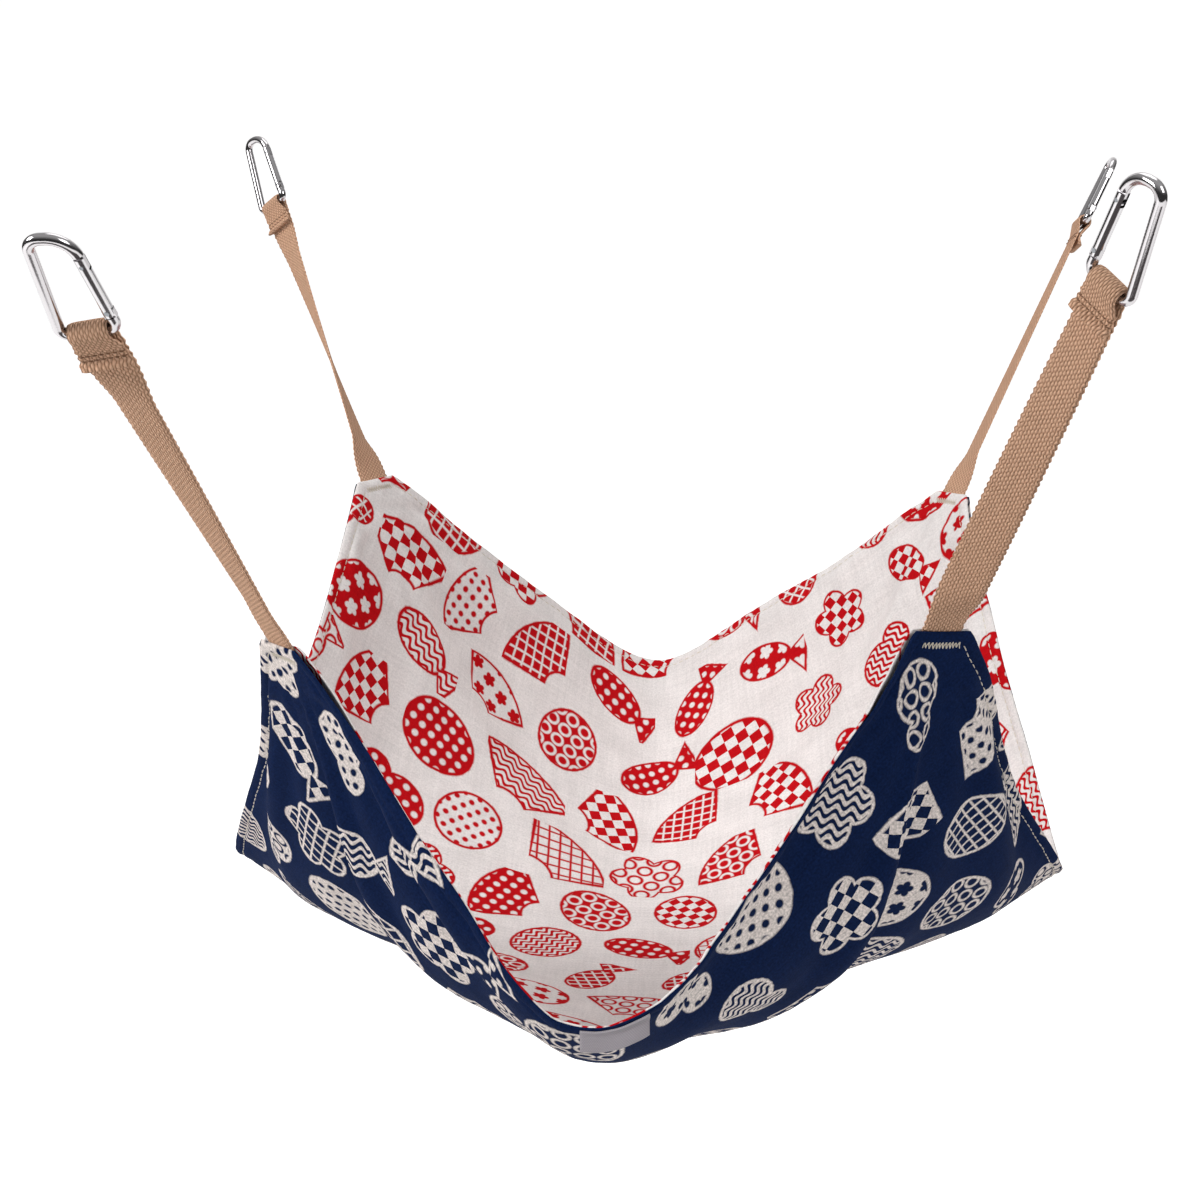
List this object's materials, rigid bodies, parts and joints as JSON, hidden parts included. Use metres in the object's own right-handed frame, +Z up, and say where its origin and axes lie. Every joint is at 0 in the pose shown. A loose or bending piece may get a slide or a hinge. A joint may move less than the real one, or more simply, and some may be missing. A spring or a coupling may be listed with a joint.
{
  "type": "cat hammock",
  "caption": "Hanging cat hammock: a lined cloth sling with cut corners, hung on webbing straps whose sewn loops hold sprung aluminium snap hooks.",
  "frame": {"origin": "under the middle of the hung part's box in plan, level with the lowest point of the sling's base", "axes": "+Z up, -Y to the front edge with the label, +X to the right seen from the front"},
  "size_m": [0.5236, 0.5966, 0.4183],
  "materials": {
    "outer_cotton": "woven",
    "lining_cotton": "woven",
    "label_tape": "woven",
    "webbing": "ribbed",
    "hook_aluminium": "polished",
    "gate_aluminium": "polished",
    "pin_steel": "satin",
    "spring_steel": "bright wire"
  },
  "bodies": {
    "sling": {"outer_panel": "outer_cotton", "lining_panel": "lining_cotton", "label": "label_tape", "strap_end_front_left": "webbing", "strap_end_front_right": "webbing", "strap_end_back_left": "webbing", "strap_end_back_right": "webbing"},
    "strap_front_left": {"strap_front_left": "webbing"},
    "hook_front_left": {"hook_front_left": "hook_aluminium"},
    "gate_front_left": {"gate_front_left": "gate_aluminium", "rivet_front_left": "pin_steel", "latch_pin_front_left": "pin_steel", "spring_front_left": "spring_steel"},
    "strap_front_right": {"strap_front_right": "webbing"},
    "hook_front_right": {"hook_front_right": "hook_aluminium"},
    "gate_front_right": {"gate_front_right": "gate_aluminium", "rivet_front_right": "pin_steel", "latch_pin_front_right": "pin_steel", "spring_front_right": "spring_steel"},
    "strap_back_left": {"strap_back_left": "webbing"},
    "hook_back_left": {"hook_back_left": "hook_aluminium"},
    "gate_back_left": {"gate_back_left": "gate_aluminium", "rivet_back_left": "pin_steel", "latch_pin_back_left": "pin_steel", "spring_back_left": "spring_steel"},
    "strap_back_right": {"strap_back_right": "webbing"},
    "hook_back_right": {"hook_back_right": "hook_aluminium"},
    "gate_back_right": {"gate_back_right": "gate_aluminium", "rivet_back_right": "pin_steel", "latch_pin_back_right": "pin_steel", "spring_back_right": "spring_steel"}
  },
  "joints": [
    {"name": "strap_front_left_seam", "type": "hinge", "parent": "sling", "child": "strap_front_left", "pos_m": [-0.15333, -0.1593, 0.21467], "axis": [0.6975, -0.7162, -0.0241], "range_deg": [-60, 60]},
    {"name": "hook_front_left_swing", "type": "hinge", "parent": "strap_front_left", "child": "hook_front_left", "pos_m": [-0.18812, -0.26965, 0.35256], "axis": [-0.9811, 0.1182, -0.153], "range_deg": [-90, 90]},
    {"name": "gate_front_left_pivot", "type": "hinge", "parent": "hook_front_left", "child": "gate_front_left", "pos_m": [-0.17966, -0.27607, 0.36064], "axis": [0.0032, -0.7812, -0.6243], "range_deg": [0, 28], "stiffness_Nm_per_rad": 0.05, "springref_deg": -20.05},
    {"name": "strap_front_right_seam", "type": "hinge", "parent": "sling", "child": "strap_front_right", "pos_m": [0.11966, -0.14371, 0.21697], "axis": [0.9113, 0.4014, -0.0923], "range_deg": [-60, 60]},
    {"name": "hook_front_right_swing", "type": "hinge", "parent": "strap_front_right", "child": "hook_front_right", "pos_m": [0.16354, -0.23999, 0.3626], "axis": [-0.5498, 0.611, 0.5696], "range_deg": [-90, 90]},
    {"name": "gate_front_right_pivot", "type": "hinge", "parent": "hook_front_right", "child": "gate_front_right", "pos_m": [0.15995, -0.23824, 0.37534], "axis": [0.799, 0.5836, 0.1451], "range_deg": [0, 28], "stiffness_Nm_per_rad": 0.05, "springref_deg": -20.05},
    {"name": "strap_back_left_seam", "type": "hinge", "parent": "sling", "child": "strap_back_left", "pos_m": [-0.17766, 0.21321, 0.22038], "axis": [-0.6915, -0.7204, -0.0532], "range_deg": [-60, 60]},
    {"name": "hook_back_left_swing", "type": "hinge", "parent": "strap_back_left", "child": "hook_back_left", "pos_m": [-0.24248, 0.27366, 0.37704], "axis": [-0.7126, 0.5031, -0.489], "range_deg": [-90, 90]},
    {"name": "gate_back_left_pivot", "type": "hinge", "parent": "hook_back_left", "child": "gate_back_left", "pos_m": [-0.2382, 0.27134, 0.38948], "axis": [-0.6021, -0.7963, 0.0581], "range_deg": [0, 28], "stiffness_Nm_per_rad": 0.05, "springref_deg": -20.05},
    {"name": "strap_back_right_seam", "type": "hinge", "parent": "sling", "child": "strap_back_right", "pos_m": [0.16302, 0.21693, 0.21008], "axis": [-0.5694, 0.8211, -0.0394], "range_deg": [-60, 60]},
    {"name": "hook_back_right_swing", "type": "hinge", "parent": "strap_back_right", "child": "hook_back_right", "pos_m": [0.24077, 0.27877, 0.36018], "axis": [0.1297, -0.9386, 0.3196], "range_deg": [-90, 90]},
    {"name": "gate_back_right_pivot", "type": "hinge", "parent": "hook_back_right", "child": "gate_back_right", "pos_m": [0.24578, 0.27203, 0.37056], "axis": [-0.8925, 0.0299, 0.45], "range_deg": [0, 28], "stiffness_Nm_per_rad": 0.05, "springref_deg": -20.05}
  ]
}
